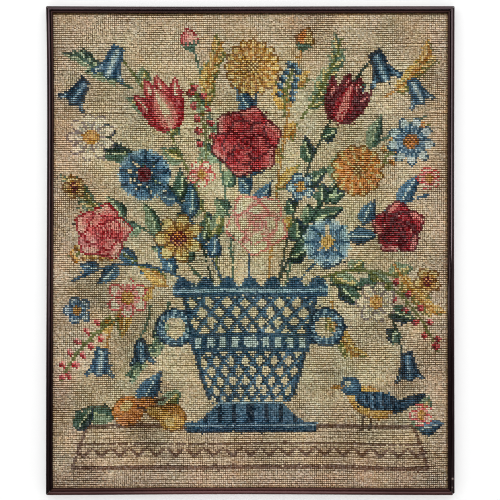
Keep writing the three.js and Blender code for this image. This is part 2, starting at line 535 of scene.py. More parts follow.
@dataclass(frozen=True)
class Bud(Growing):
    """A closed bud in its green cup."""

    def work(self, chart: Chart) -> None:
        """Works the bud and then the cup over its foot.

        Args:
            chart: the chart that it goes on.
        """
        s, v = self.along(chart)
        half = 0.36 * self.size * swell(s, 0.8)
        inside = (s > 0) & (s < 1) & (np.abs(v) <= half + 0.3)
        self.fill(chart, inside, v, half, 0.75 - 0.8 * v / self.size, 0.7)
        chart.lay((inside & (s < 0.34 + 0.1 * np.cos(v * 3)), Wool.GREEN))


@dataclass(frozen=True)
class Pear(Growing):
    """A ripe pear lying on its side, with a stalk."""

    # The half width of the belly and of the neck, and where along the fruit each has its middle and how far
    # it reaches from there, as shares of the fruit's size.
    BELLY = (0.36, 0.34, 0.36)
    NECK = (0.19, 0.72, 0.3)

    def work(self, chart: Chart) -> None:
        """Works the fruit and its stalk.

        Args:
            chart: the chart that it goes on.
        """
        s, v = self.along(chart)
        half = np.maximum(*(
            self.size * width * np.sqrt(np.clip(1 - ((s - middle) / reach) ** 2, 0, 1))
            for width, middle, reach in (self.BELLY, self.NECK)
        ))
        depth = 0.5 + 0.5 * (v / self.size + 0.15 * s)
        depth = depth + 0.35 * np.exp(-(((s - 0.35) / 0.16) ** 2) - ((v / self.size - 0.1) / 0.12) ** 2)
        self.fill(chart, (np.abs(v) <= half) & (half > 0.4), v, half, depth, 0.9)
        chart.lay(((np.abs(v) < 0.6) & (s > 0.98) & (s < 1.25), Wool.UMBER))


@dataclass(frozen=True)
class Spray:
    """A fine stem set with small round berries or florets on short stalks."""

    start: Point
    end: Point
    bend: float
    run: Run

    BERRIES = 11
    SIZE = 1.7
    STALK = 4.2

    def work(self, chart: Chart) -> None:
        """Works the stem, the stalks and the berries.

        Args:
            chart: the chart that it goes on.
        """
        stem = Stem(self.start, self.end, self.bend, Wool.OLIVE)
        stem.work(chart)
        for i in range(self.BERRIES):
            t = 0.22 + 0.78 * (i + 0.4) / self.BERRIES
            x, y = stem.point(t)
            way = math.radians(stem.heading(t) + (58 if i % 2 else -58))
            reach = self.STALK * (1.15 - 0.5 * t) if i < self.BERRIES - 1 else 0.0
            berry = (x + reach * math.cos(way), y + reach * math.sin(way))
            Stem((x, y), berry, 0.0, Wool.OLIVE).work(chart)
            rho, theta = chart.polar(*berry, 45)
            chart.shade(rho <= self.SIZE, 0.55 + 0.4 * np.cos(theta * math.tau) - 0.1 * rho, self.run)


@dataclass(frozen=True)
class Bird:
    """A small plump bird that stands in profile, facing right (1) or left (-1)."""

    x: float
    y: float
    size: float
    facing: int
    run: Run = BLUE_RUN

    # The ovals of the tail, the body, the head, the beak, the wing and the eye. Each has its middle forward
    # and up, half its length and half its width, as shares of the bird's size, and its tip in degrees.
    PARTS = (
        (-0.62, 0.46, 0.42, 0.1, -24), (0.0, 0.5, 0.44, 0.27, 28), (0.34, 0.78, 0.2, 0.18, 0),
        (0.58, 0.76, 0.12, 0.05, -10), (-0.12, 0.52, 0.4, 0.17, 8), (0.38, 0.82, 0.05, 0.05, 0),
    )

    def place(self, u: float, v: float) -> Point:
        """The stitch at shares of the bird's size forward and up from between its feet."""
        return self.x + self.facing * u * self.size, self.y + v * self.size

    def oval(self, chart: Chart, u: float, v: float, long: float, wide: float, turn: float) -> Grid:
        """How far out each stitch lies in an oval, which ends at 1. Its front tips up by the turn."""
        a, b = chart.local(*self.place(u, v), turn if self.facing > 0 else 180 - turn)
        return np.hypot(a / (long * self.size), b / (wide * self.size))

    def work(self, chart: Chart) -> None:
        """Works the tail, the legs, the body, the head, the beak, the wing and the eye.

        Args:
            chart: the chart that it goes on.
        """
        tail, body, head, beak, wing, eye = (self.oval(chart, *part) for part in self.PARTS)
        bars = (chart.local(self.x, self.y, 8)[0] % 4) / 4
        chart.shade(tail < 1, 0.5 * (1 - tail), self.run)
        for u in (-0.04, 0.1):
            Stem(self.place(u, 0.3), self.place(u + 0.05, 0.0), 0.0, Wool.UMBER).work(chart)
        chart.shade(body < 1, 0.95 - 0.5 * body, GOLD_RUN)
        chart.shade(head < 1, 0.9 - 0.7 * head, self.run)
        chart.lay((beak < 1, Wool.OCHRE))
        chart.shade(wing < 1, 0.2 + 0.7 * bars - 0.3 * wing, self.run)
        chart.lay((eye < 1, Wool.IVORY))


@dataclass(frozen=True)
class Basket:
    """A flared lattice basket on a low foot, with a ring handle at each side."""

    x: float = 0
    foot: float = 42
    height: float = 54
    foot_half: float = 20
    rim_half: float = 34

    def handle(self, chart: Chart, side: int) -> None:
        """Works one twisted ring handle at a side.

        Args:
            chart: the chart that it goes on.
            side: -1 for the left and 1 for the right.
        """
        rho, theta = chart.polar(self.x + side * (self.rim_half + 3.0), self.foot + 0.66 * self.height)
        twist = (theta * 14 + rho * 0.16) % 1.0
        chart.shade((rho > 5.2) & (rho < 9.4), np.where(twist < 0.5, 0.3, 0.85), BLUE_RUN)
        chart.lay(((rho > 8.6) & (rho < 9.6), Wool.NAVY))

    def lattice(self, chart: Chart, body: Grid, dx: Grid, half: Grid) -> None:
        """Works the crossed canes and the sides inside the body.

        Args:
            chart: the chart that it goes on.
            body: the basket's stitches.
            dx: each stitch's distance from the middle.
            half: the basket's half width there.
        """
        chart.lay((body, Wool.CREAM))
        across = dx / half * self.rim_half
        rise = (chart.y - self.foot) * 0.95
        for slope, wool in ((1, Wool.INDIGO), (-1, Wool.BLUE)):
            lane = (across + slope * rise) % 9.0
            chart.lay((body & (lane < 3.2), wool), (body & (lane < 0.9), Wool.NAVY))
        for side, wool in ((2.2, Wool.INDIGO), (1.0, Wool.NAVY)):
            chart.lay((body & (np.abs(dx) > half - side), wool))

    def work(self, chart: Chart) -> None:
        """Works the handles, the lattice, the bands and the foot.

        Args:
            chart: the chart that it goes on.
        """
        for side in (-1, 1):
            self.handle(chart, side)
        dx = chart.x - self.x
        away = np.abs(dx)
        s = (chart.y - self.foot) / self.height
        half = self.foot_half + (self.rim_half - self.foot_half) * np.clip(s, 0, 1) ** 0.75
        self.lattice(chart, (s >= 0.0) & (s <= 1.0) & (away <= half), dx, half)
        band = (s > 0.44) & (s < 0.60) & (away <= half + 1)
        scallop = 1.02 + 0.10 * np.abs(np.cos(dx * math.pi / 11))
        rim = (s > 0.93) & (s <= 1.12) & (s < scallop) & (away <= half + 4)
        down = self.foot - chart.y
        flare = self.foot_half - 4 + 0.32 * np.maximum(down, 0) ** 1.5
        foot = (down > 0) & (down <= 13) & (away <= flare)
        plate = (down > 10) & (down <= 15) & (away <= self.foot_half + 12)
        chart.lay(
            (band, Wool.INDIGO),
            (band & (np.abs(s - 0.52) < 0.045) & (away % 6 < 3.4), Wool.ICE),
            (rim, Wool.INDIGO),
            (rim & (s > 0.975) & (s < 1.015), Wool.SKY),
            (rim & (s > 1.02) & (np.abs((dx / 11) % 1 - 0.5) < 0.16), Wool.ICE),
            (foot, Wool.BLUE),
            (foot & (away % 7 < 2.4), Wool.NAVY),
            (foot & (down < 2), Wool.SKY),
            (plate, Wool.INDIGO),
            (plate & (down > 11) & (down <= 12), Wool.SKY),
            (plate & (down > 14), Wool.NAVY),
        )


@dataclass(frozen=True)
class Shelf:
    """A banded shelf with a toothed front edge, worked in browns."""

    top: float = 30
    depth: float = 21
    half: float = 80

    def work(self, chart: Chart) -> None:
        """Works the shelf's ground, its bands, its teeth and its lines.

        Args:
            chart: the chart that it goes on.
        """
        down = self.top - chart.y
        side = self.half + 0.35 * down
        on = (down >= 0) & (down <= self.depth) & (np.abs(chart.x) <= side)
        tooth = np.abs((chart.x / 9) % 1 - 0.5) * 8
        lines = (down < 1.5) | (np.abs(down - 9) < 1) | ((np.abs(down - 11 - tooth) < 0.8) & (down > 10))
        lines = lines | (np.abs(chart.x) > side - 1.6) | (down > self.depth - 1.5)
        bands = (down % 3 < 1) | ((down > 10) & (down < 11 + tooth))
        chart.lay((on, Wool.STONE), (on & bands, Wool.FAWN), (on & lines, Wool.BROWN))


def ground(chart: Chart) -> None:
    """Works the ground in five lots of tan, which change by patches, by rows and by stitches.

    Args:
        chart: the bare chart.
    """
    rng = np.random.default_rng(SEED)
    rows, columns = chart.wool.shape
    t, s = np.mgrid[0:1:rows * 1j, 0:1:columns * 1j]
    lot = 0.2 * wander(rng, s, t, 4.0)
    for share, shape in ((0.2, (rows, 1)), (0.85, (rows, columns))):
        lot = lot + share * rng.normal(0, 1, shape)
    chart.shade(np.full(lot.shape, True), 0.5 + 0.21 * lot, TAN_RUN)


def stems() -> list[Motif]:
    """The leafy stems that spread from the basket's mouth, the furthest back first.

    Returns:
        The stems, in the order of working.
    """
    # Each one's column at the mouth, where it ends, its bend, and how many leaves it has of what size.
    ways = (
        (-18, (-86, 176), -0.30, 7, 15, TEAL_LEAF),
        (17, (85, 180), 0.27, 7, 15, GREEN_LEAF),
        (-14, (-64, 210), -0.13, 7, 15, OLIVE_LEAF),
        (14, (58, 208), 0.14, 7, 15, TEAL_LEAF),
        (-8, (-28, 214), -0.06, 7, 14, GREEN_LEAF),
        (9, (25, 213), 0.05, 7, 15, GOLD_LEAF),
        (0, (3, 196), 0.03, 8, 16, BLUE_LEAF),
        (-20, (-84, 136), -0.22, 6, 16, GREEN_LEAF),
        (21, (86, 142), 0.17, 6, 15, BLUE_LEAF),
        (-24, (-86, 100), -0.33, 5, 15, BLUE_LEAF),
        (25, (87, 92), 0.36, 5, 15, OLIVE_LEAF),
        (-12, (-52, 158), -0.10, 5, 16, BLUE_LEAF),
        (13, (50, 156), 0.12, 5, 16, TEAL_LEAF),
        (-26, (-70, 68), -0.55, 5, 14, GOLD_LEAF),
        (27, (74, 64), 0.55, 5, 14, TEAL_LEAF),
    )
    return [
        Stem((x, STEM_MOUTH), end, bend, run[1], leaves, leaf, 3.9 - 0.4 * (i % 2), run)
        for i, (x, end, bend, leaves, leaf, run) in enumerate(ways)
    ]


def sprays() -> list[Motif]:
    """The feathery sprays and berries that fill between the stems.

    Returns:
        The feathery sprays, and the berries that go over them.
    """
    ferns = (
        ((-22, 180), (-14, 216), 0.12, GOLD_LEAF), ((24, 178), (44, 218), -0.1, OLIVE_LEAF),
        ((-60, 128), (-88, 152), 0.2, OLIVE_LEAF), ((40, 90), (52, 64), -0.2, GOLD_LEAF),
        ((-40, 90), (-60, 54), 0.2, GREEN_LEAF), ((66, 190), (88, 212), -0.14, GOLD_LEAF),
        ((-58, 194), (-86, 212), 0.1, GREEN_LEAF), ((70, 108), (90, 84), -0.1, GOLD_LEAF),
    )
    berries = (
        ((-56, 110), (-88, 112), -0.22, GOLD_RUN), ((50, 108), (91, 66), 0.2, RED_RUN),
        ((-22, 150), (-28, 196), -0.14, RED_RUN), ((60, 150), (86, 176), 0.2, ORANGE_RUN),
        ((-60, 84), (-92, 52), -0.2, PINK_RUN), ((16, 180), (22, 206), 0.1, BLUE_RUN),
    )
    worked: list[Motif] = [Stem(a, b, bend, run[1], 12, 8.0, 1.9, run, 40) for a, b, bend, run in ferns]
    return worked + [Spray(*spray) for spray in berries]


def blooms() -> list[Motif]:
    """The flowers, the nearest last.

    Returns:
        The flowers, in the order of working.
    """
    berry_heart = (Wool.MAROON, Wool.ORANGE)
    amber_heart = (Wool.BRONZE, Wool.ORANGE)
    return [
        Bell(-64, 214, 248, 16, PALE_BLUE_RUN), Bell(-80, 198, 236, 14, BLUE_RUN),
        Bell(60, 212, 292, 16, BLUE_RUN), Bell(78, 198, 296, 13, PALE_BLUE_RUN),
        Bud(-29, 212, 100, 12, PINK_RUN), Bud(25, 212, 76, 12, ORANGE_RUN),
        Marigold(1, 204, 14, GOLD_RUN, 16, 10),
        Tulip(-38, 175, 114, 25, PINK_RUN), Tulip(42, 178, 68, 23, MAROON_RUN, Wool.PINK),
        Cornflower(-52, 152, 13, BLUE_RUN, 9, 8), Marigold(52, 154, 13, ORANGE_RUN, 12, 30),
        Daisy(-78, 170, 12, CREAM_RUN, 9), Daisy(78, 168, 12, PALE_BLUE_RUN, 9, 12, amber_heart),
        Rose(-72, 124, 14, PINK_RUN, 5, 80), Rose(72, 126, 13, MAROON_RUN, 5, 20),
        Daisy(-35, 121, 12, GOLD_RUN, 7, 0, berry_heart),
        Cornflower(37, 119, 12, PALE_BLUE_RUN, 8, 0, Wool.GOLD),
        Daisy(-60, 92, 10, BLUSH_RUN, 6), Daisy(61, 90, 10, CREAM_RUN, 7),
        Daisy(-84, 86, 7, PALE_BLUE_RUN, 5), Daisy(86, 100, 7, GOLD_RUN, 5, 10, berry_heart),
        Daisy(-24, 152, 7, BLUSH_RUN, 5, 20), Daisy(24, 146, 7, PALE_BLUE_RUN, 5),
        Daisy(-86, 146, 6, GOLD_RUN, 5, 0, berry_heart), Daisy(87, 150, 6, BLUSH_RUN, 5),
        Bell(-72, 68, 264, 14, PALE_BLUE_RUN), Bell(76, 66, 276, 14, BLUE_RUN),
        Stem((-49, 88), (-54, 72), 0.1), Bell(-54, 72, 276, 12, BLUE_RUN),
        Rose(-2, 168, 17, RED_RUN, 6, 15), Rose(3, 128, 15, CREAM_ROSE_RUN, 5, 50),
    ]


def shelf_pieces() -> list[Motif]:
    """What rests on the shelf beside the basket.

    Returns:
        The leaves, the pears, the bird and a flower, in the order of working.
    """
    return [
        Leaf(-66, 33, 158, 19, GREEN_LEAF, 4.6, 0.2), Leaf(-52, 40, 74, 18, BLUE_LEAF, 4.6, -0.2),
        Leaf(-44, 38, 38, 14, OLIVE_LEAF, 4.0, 0.1), Leaf(-84, 28, 60, 14, TEAL_LEAF, 4.0, -0.1),
        Pear(-66, 34, 20, 21, ORANGE_RUN), Pear(-32, 32, 164, 19, GOLD_RUN),
        Bird(58, 28, 27, -1), Leaf(80, 29, 66, 17, OLIVE_LEAF, 4.2), Leaf(82, 28, 14, 12, BLUE_LEAF, 3.8),
        Daisy(83, 35, 6, BLUSH_RUN, 5),
    ]


def design() -> Chart:
    """Charts the whole design, ground first.

    Returns:
        The finished chart.
    """
    chart = Chart(ALL_COLUMNS, ALL_ROWS, UNDER_LIP)
    ground(chart)
    for motif in [Shelf(), *stems(), *sprays(), Basket(), *blooms(), *shelf_pieces()]:
        motif.work(chart)
    chart.stray(STRAY_SHARE, SEED)
    return chart


# ---------------------------------------------------------------- shader maths


def maths(operation: str, turned: bool = False) -> Callable[["Value", Any], "Value"]:
    """An operator that adds one Math node, with its two values turned round where it is asked.

    Args:
        operation: the Math node's operation.
        turned: whether the other value comes first.

    Returns:
        The operator.
    """

    def operator(self: "Value", other: Any) -> "Value":
        """Joins both values to the node and wraps its result."""
        first, second = (other, self) if turned else (self, other)
        return self.shader.node("ShaderNodeMath", {"operation": operation}, {0: first, 1: second})

    return operator


class Value:
    """One socket of a node tree that carries a number, with the operators of shader maths."""

    def __init__(self, shader: "Shader", socket: bpy.types.NodeSocket) -> None:
        """Wraps an output socket."""
        self.shader = shader
        self.socket = socket

    __add__ = __radd__ = maths("ADD")
    __sub__ = maths("SUBTRACT")
    __rsub__ = maths("SUBTRACT", turned=True)
    __mul__ = __rmul__ = maths("MULTIPLY")
    least = maths("MINIMUM")
    most = maths("MAXIMUM")
    bounce = maths("PINGPONG")

    def step(self, low: float, high: float) -> "Value":
        """0 below low, 1 above high and smooth between them. It falls where low is the larger."""
        sockets = {"Value": self, "From Min": low, "From Max": high}
        return self.shader.node("ShaderNodeMapRange", {"interpolation_type": "SMOOTHSTEP"}, sockets)


class Shader:
    """A node material under construction."""

    def __init__(self, name: str, **fixed: Any) -> None:
        """Starts a material with one Principled shader.

        Args:
            name: the material's name.
            fixed: values that are the same all over, by socket name with _ for each space.
        """
        self.material = bpy.data.materials.new(name)
        self.material.use_nodes = True
        self.tree = self.material.node_tree
        self.surface = self.tree.nodes["Principled BSDF"]
        self.feed(**fixed)
        self.place = self.node("ShaderNodeTexCoord", {}, {}, "Object")

    def node(self, kind: str, settings: dict[str, Any], sockets: dict[Any, Any], out: Any = 0) -> Value:
        """Adds a node.

        Args:
            kind: its type's identifier.
            settings: properties, which are set first.
            sockets: values or links, by socket name or index.
            out: the output to return, by name or index.

        Returns:
            The wrapped output.
        """
        made = self.tree.nodes.new(kind)
        for name, value in settings.items():
            setattr(made, name, value)
        for key, value in sockets.items():
            self.join(value, made.inputs[key])
        return Value(self, made.outputs[out])

    def join(self, value: Any, socket: bpy.types.NodeSocket) -> None:
        """Links a wrapped or bare socket, or sets a plain value.

        Args:
            value: what the socket gets.
            socket: a node's input.
        """
        source = value.socket if isinstance(value, Value) else value
        if isinstance(source, bpy.types.NodeSocket):
            self.tree.links.new(source, socket)
        else:
            socket.default_value = source

    def feed(self, **inputs: Any) -> None:
        """Links or sets the Principled shader's sockets, named with _ for each space."""
        for name, value in inputs.items():
            self.join(value, self.surface.inputs[name.replace("_", " ").title().replace("Ior", "IOR")])

    def attribute(self, name: str, out: str = "Fac") -> Value:
        """One of the mesh's own attributes."""
        return self.node("ShaderNodeAttribute", {"attribute_name": name}, {}, out)

    def axis(self, name: str, of: Value | None = None) -> Value:
        """One coordinate of the surface's own place in metres, or of another vector."""
        return self.node("ShaderNodeSeparateXYZ", {}, {0: of or self.place}, name)

    def noise(self, scale: float, detail: float = 2.0, stretch: Triple | None = None) -> Value:
        """Smooth noise from 0 to 1 over the surface's place.

        Args:
            scale: how fine it is.
            detail: how many finer layers it has.
            stretch: a scale for each axis, where they differ.

        Returns:
            The noise.
        """
        where = self.place
        if stretch:
            where = self.node("ShaderNodeMapping", {}, {"Vector": where, "Scale": stretch})
        return self.node("ShaderNodeTexNoise", {}, {"Vector": where, "Scale": scale, "Detail": detail})

    def rgb(self, red: Value, green: Value, blue: Value) -> Value:
        """A colour from its three shares."""
        return self.node("ShaderNodeCombineColor", {}, {0: red, 1: green, 2: blue})

    def mix(self, first: Any, second: Any, share: Any, blend: str = "MIX") -> Value:
        """Mixes two colours."""
        settings = {"data_type": "RGBA", "blend_type": blend}
        return self.node("ShaderNodeMix", settings, {0: share, 6: first, 7: second}, 2)

    def coats(self, under: Any, *coats: tuple[Triple, Any]) -> Any:
        """Lays colours in sRGB bytes over another one in turn, each by its share.

        Args:
            under: the first colour.
            coats: each coat's colour and share.

        Returns:
            The colour under all its coats.
        """
        for colour, share in coats:
            under = self.mix(under, linear(*colour), share)
        return under

    def bump(self, height: Value, strength: float, distance: float) -> Value:
        """A normal bent by a height."""
        sockets = {"Height": height, "Strength": strength, "Distance": distance}
        return self.node("ShaderNodeBump", {}, sockets)


def byte_to_linear(channel: Grid) -> Grid:
    """sRGB bytes as linear light."""
    c = np.clip(channel, 0, 255) / 255
    return np.where(c <= 0.04045, c / 12.92, ((c + 0.055) / 1.055) ** 2.4)


def linear(*colour: float) -> tuple[float, ...]:
    """A colour in sRGB bytes as the linear colour that shaders work in."""
    return (*byte_to_linear(np.array(colour)).tolist(), 1.0)


# ---------------------------------------------------------------- finishes


# The wool attribute holds each vertex's colour with its painted light and shade.
WOOL_AND_PAINTED_LIGHT = "wool"
BEHIND = "behind"
ACROSS = "across"
STITCH_MAP = "OFBake"
SHEET_MAP = "weave"


@dataclass(frozen=True)
class WoolFinish:
    """Matt crewel wool, with loose fibres and a century's dust in uneven patches."""

    gloss: float = 0.02
    sheen: float = 0.02
    fibre: float = 0.00035
    soil: float = 0.05
    yellowed: float = 0.985

    def make(self, name: str) -> bpy.types.Material:
        """Builds the material. Each stitch's colour, with its painted shade and painted highlight, comes
        from the piece's attribute.

        Args:
            name: the material's name.

        Returns:
            The material.
        """
        shader = Shader(name, specular_ior_level=self.gloss, sheen_weight=self.sheen, sheen_roughness=0.5)
        fibres = shader.noise(1 / self.fibre, 3.0)
        patches = shader.noise(9.0, 4.0)
        shade = (0.8 + 0.34 * fibres) * (1 - self.soil * patches.step(0.42, 0.68))
        worn = shader.rgb(shade, shade, shade * self.yellowed)
        shader.feed(
            base_color=shader.mix(shader.attribute(WOOL_AND_PAINTED_LIGHT, "Color"), worn, 1.0, "MULTIPLY"),
            roughness=0.8 + 0.18 * fibres,
            normal=shader.bump(fibres, 0.35, 0.2 * MM),
        )
        return shader.material


@dataclass(frozen=True)
class CanvasFinish:
    """Cotton canvas between the stitches, darkened by painted shade and a little dust, and the wool's ends
    on its back.
    """

    dust: Triple = (46, 34, 20)
    cotton: Triple = (150, 128, 96)
    trail: Triple = (110.0, 110.0, 420.0)

    def make(self, name: str) -> bpy.types.Material:
        """Builds the material on the sheet's own map, which counts the stitches.

        Args:
            name: the material's name.

        Returns:
            The material.
        """
        shader = Shader(name, roughness=0.95, specular_ior_level=0.02)
        wool = shader.attribute(WOOL_AND_PAINTED_LIGHT, "Color")
        behind = shader.attribute(BEHIND)
        place = shader.node("ShaderNodeUVMap", {"uv_map": SHEET_MAP}, {})
        lane, row = (
            (shader.axis(side, place) * count).bounce(0.5)
            for side, count in (("X", ALL_COLUMNS), ("Y", ALL_ROWS))
        )
        thread = lane.step(0.2, 0.36).most(row.step(0.2, 0.36))
        strand = row.step(0.08, 0.34) * (0.55 + 0.45 * lane.step(0.02, 0.2))
        fibres = shader.noise(1500.0, 3.0)
        stains = shader.noise(7.0, 4.0).step(0.4, 0.7)
        trails = shader.noise(1.0, 3.0, self.trail)
        front = shader.coats(wool, (self.dust, 0.15 * thread))
        back = shader.coats(
            shader.mix(linear(*self.dust), wool, strand * (0.55 + 0.75 * fibres)),
            (self.cotton, 0.16 + 0.22 * stains + 0.4 * trails.step(0.55, 0.72) * strand),
            (self.dust, 0.55 * trails.step(0.46, 0.3)),
        )
        relief = (strand + trails) * behind + thread * (1 - behind) + 0.5 * fibres
        shader.feed(base_color=shader.mix(front, back, behind), normal=shader.bump(relief, 0.5, 0.4 * MM))
        return shader.material


@dataclass(frozen=True)
class WoodFinish:
    """A dense red-brown wood, nearly black and darkest in the groove, with a painted highlight along the
    outer bead that is partly rubbed wear, painted shade towards the foot and the ends, and bare behind.
    """

    dark: Triple = (16, 4, 6)
    body: Triple = (44, 27, 29)
    red: Triple = (92, 44, 40)
    # The colour of the painted highlight along the outer bead, which is partly rubbed wear.
    worn: Triple = (112, 92, 92)
    inner: Triple = (58, 36, 31)
    bare: Triple = (124, 94, 66)
    # The colour of the painted shade at the rail's ends.
    end_shade_colour: Triple = (26, 15, 17)
    chip: Triple = (150, 132, 126)
    redness: float = 0.12
    # How strong the painted highlight is, partly rubbed wear, and how strong the painted shade is at the
    # foot and at the ends.
    highlight_and_wear: float = 0.7
    foot_shade: float = 0.95
    end_shade: float = 0.0
    # Where the painted highlight lies, in millimetres in from the outer edge.
    highlight_rub: Point = (3.0, 5.7)

    # The grain's scale along the wood and across it, the heights between which painted shade darkens the
    # foot, the distances from the middle between which painted shade darkens the ends, and the y of a chip.
    GRAIN = (6.0, 260.0)
    FOOT_SHADE = (-380 * MM, -620 * MM)
    OUTWARD = (60 * MM, 240 * MM)
    CHIP_Y = -19 * MM

    def make(self, name: str, upright: bool, flecks: tuple[Triple, ...] = ()) -> bpy.types.Material:
        """Builds the material.

        Args:
            name: the material's name.
            upright: whether the grain runs up the piece, and not across.
            flecks: places in metres, and each one's reach, where the polish is chipped off.

        Returns:
            The material.
        """
        shader = Shader(name, specular_ior_level=0.05, coat_roughness=0.3)
        long, fine = self.GRAIN
        along = (fine, fine, long) if upright else (long, fine, fine)
        grain = shader.noise(1.0, 6.0, along)
        pores = shader.noise(1.0, 3.0, tuple(v * 6 for v in along))
        scuffs = shader.noise(1.0, 5.0, tuple(v / 4 for v in along)).step(0.3, 0.68)
        cloud = shader.noise(14.0, 4.0)
        # How far forward the surface lies in metres, and how far in from the outer edge in millimetres: the
        # outer bead reaches in to 5, the groove to 6.4 and the inner bead to 9.8.
        front = shader.axis("Y") * -1
        across = shader.attribute(ACROSS)
        start, end = self.highlight_rub
        # A painted highlight line along the outer bead, partly rubbed wear.
        line = across.step(start, start + 1.1) * across.step(end, end - 0.9) * front.step(15 * MM, 16 * MM)
        outer = across.step(2.6, 1.0) * front.step(14 * MM, 15 * MM)
        inner = across.step(7.0, 8.2) * across.step(9.9, 9.2)
        # Painted shade: darker towards the foot, and towards the ends of the bottom rail.
        low = shader.axis("Z").step(*self.FOOT_SHADE) * self.foot_shade
        far = shader.axis("X").most(shader.axis("X") * -1).step(*self.OUTWARD) * self.end_shade
        wood = shader.coats(
            linear(*self.dark),
            (self.body, grain.step(0.3, 0.75) * outer),
            (self.inner, inner * (0.35 + 0.75 * cloud)),
            (self.red, cloud.step(0.35, 0.65) * (inner + outer + line) * self.redness),
            (self.dark, pores.step(0.58, 0.75) * 0.5),
            (self.worn, (line * (0.35 + 0.75 * scuffs) * self.highlight_and_wear).least(1.0)),
            (self.dark, low),
            (self.end_shade_colour, far),
        )
        for x, z, reach in flecks:
            span = {0: shader.place, 1: (x, self.CHIP_Y, z)}
            away = shader.node("ShaderNodeVectorMath", {"operation": "DISTANCE"}, span, "Value")
            wood = shader.coats(wood, (self.chip, (away + 0.002 * cloud).step(reach, reach * 0.5) * 0.8))
        behind = front.step(0.9 * MM, 0.3 * MM)
        relief = grain + 0.4 * pores + 1.6 * shader.noise(120.0, 3.0)
        shader.feed(
            base_color=shader.coats(wood, (self.bare, behind * (0.6 + 0.4 * grain))),
            roughness=0.42 + 0.2 * cloud + 0.25 * behind,
            coat_weight=(0.7 * line + 0.25 * outer + 0.18 * inner) * (1 - low.most(far)),
            normal=shader.bump(relief, 0.22, 0.25 * MM),
        )
        return shader.material


@dataclass(frozen=True)
class StudioFinish:
    """A pale matt surface with the least trace of mottling."""

    tone: float
    glow: float = 0.0

    def make(self, name: str, one_sided: bool = False) -> bpy.types.Material:
        """Builds the material, clear from behind where it is one-sided.

        Args:
            name: the material's name.
            one_sided: whether the camera sees through its back.

        Returns:
            The material.
        """
        white = (1, 1, 1, 1)
        shader = Shader(name, roughness=0.95, emission_color=white, emission_strength=self.glow)
        tone = self.tone + 0.01 * shader.noise(3.0)
        shader.feed(base_color=shader.rgb(tone, tone, tone))
        if one_sided:
            behind = shader.node("ShaderNodeNewGeometry", {}, {}, "Backfacing")
            seen = shader.node("ShaderNodeLightPath", {}, {}, "Is Camera Ray")
            clear = shader.node("ShaderNodeBsdfTransparent", {}, {})
            sides = {0: seen * (1 - behind), 1: clear, 2: shader.surface.outputs[0]}
            both = shader.node("ShaderNodeMixShader", {}, sides)
            shader.join(both, shader.tree.nodes["Material Output"].inputs["Surface"])
        return shader.material


# ---------------------------------------------------------------- meshes


def coordinates(mesh: bpy.types.Mesh) -> Grid:
    """A mesh's vertices as an array with a row for each.

    Args:
        mesh: the mesh.

    Returns:
        The x, y and z of each vertex.
    """
    found = np.empty(len(mesh.vertices) * 3, dtype=np.float32)
    mesh.vertices.foreach_get("co", found)
    return found.reshape(-1, 3).astype(float)


def deselect() -> None:
    """Leaves object mode with nothing selected."""
    if bpy.context.mode != "OBJECT":
        bpy.ops.object.mode_set(mode="OBJECT")
    bpy.ops.object.select_all(action="DESELECT")


def pick(piece: bpy.types.Object) -> None:
    """Selects one piece alone and makes it active.

    Args:
        piece: the piece.
    """
    deselect()
    piece.select_set(True)
    bpy.context.view_layer.objects.active = piece


def apply_modifier(piece: bpy.types.Object, kind: str, **settings: Any) -> None:
    """Adds a modifier with these settings and applies it.

    Args:
        piece: the piece that it changes.
        kind: the modifier's type.
        settings: its settings, by name.
    """
    pick(piece)
    modifier = piece.modifiers.new(kind.title(), kind)
    for name, value in settings.items():
        setattr(modifier, name, value)
    bpy.ops.object.modifier_apply(modifier=modifier.name)


def place_object(name: str, data: Any) -> bpy.types.Object:
    """A new object in the scene that holds a mesh, a lamp or a camera.

    Args:
        name: the object's name.
        data: the mesh, the lamp or the camera.

    Returns:
        The new object.
    """
    made = bpy.data.objects.new(name, data)
    bpy.context.scene.collection.objects.link(made)
    return made


def build_mesh(name: str, points: Grid, faces: Grid) -> bpy.types.Object:
    """A mesh object of faces that all have the same number of corners.

    Args:
        name: the object's name.
        points: a row of coordinates for each vertex, in metres.
        faces: a row of vertex numbers for each face.

    Returns:
        The new object.
    """
    mesh = bpy.data.meshes.new(name)
    mesh.vertices.add(len(points))
    mesh.vertices.foreach_set("co", points.astype(np.float32).ravel())
    mesh.loops.add(faces.size)
    mesh.loops.foreach_set("vertex_index", faces.astype(np.int32).ravel())
    mesh.polygons.add(len(faces))
    mesh.polygons.foreach_set("loop_start", np.arange(0, faces.size, faces.shape[1], dtype=np.int32))
    mesh.update(calc_edges=True)
    return place_object(name, mesh)


def paint(mesh: bpy.types.Mesh, colours: Grid) -> None:
    """Stores a linear colour for each vertex.

    Args:
        mesh: the mesh.
        colours: a row of red, green and blue for each vertex.
    """
    layer = mesh.attributes.new(WOOL_AND_PAINTED_LIGHT, "FLOAT_COLOR", "POINT")
    full = np.ones((len(colours), 4), dtype=np.float32)
    full[:, :3] = colours
    layer.data.foreach_set("color", full.ravel())


def mark(mesh: bpy.types.Mesh, name: str, values: Grid) -> None:
    """Stores a number for each vertex."""
    mesh.attributes.new(name, "FLOAT", "POINT").data.foreach_set("value", values.astype(np.float32))


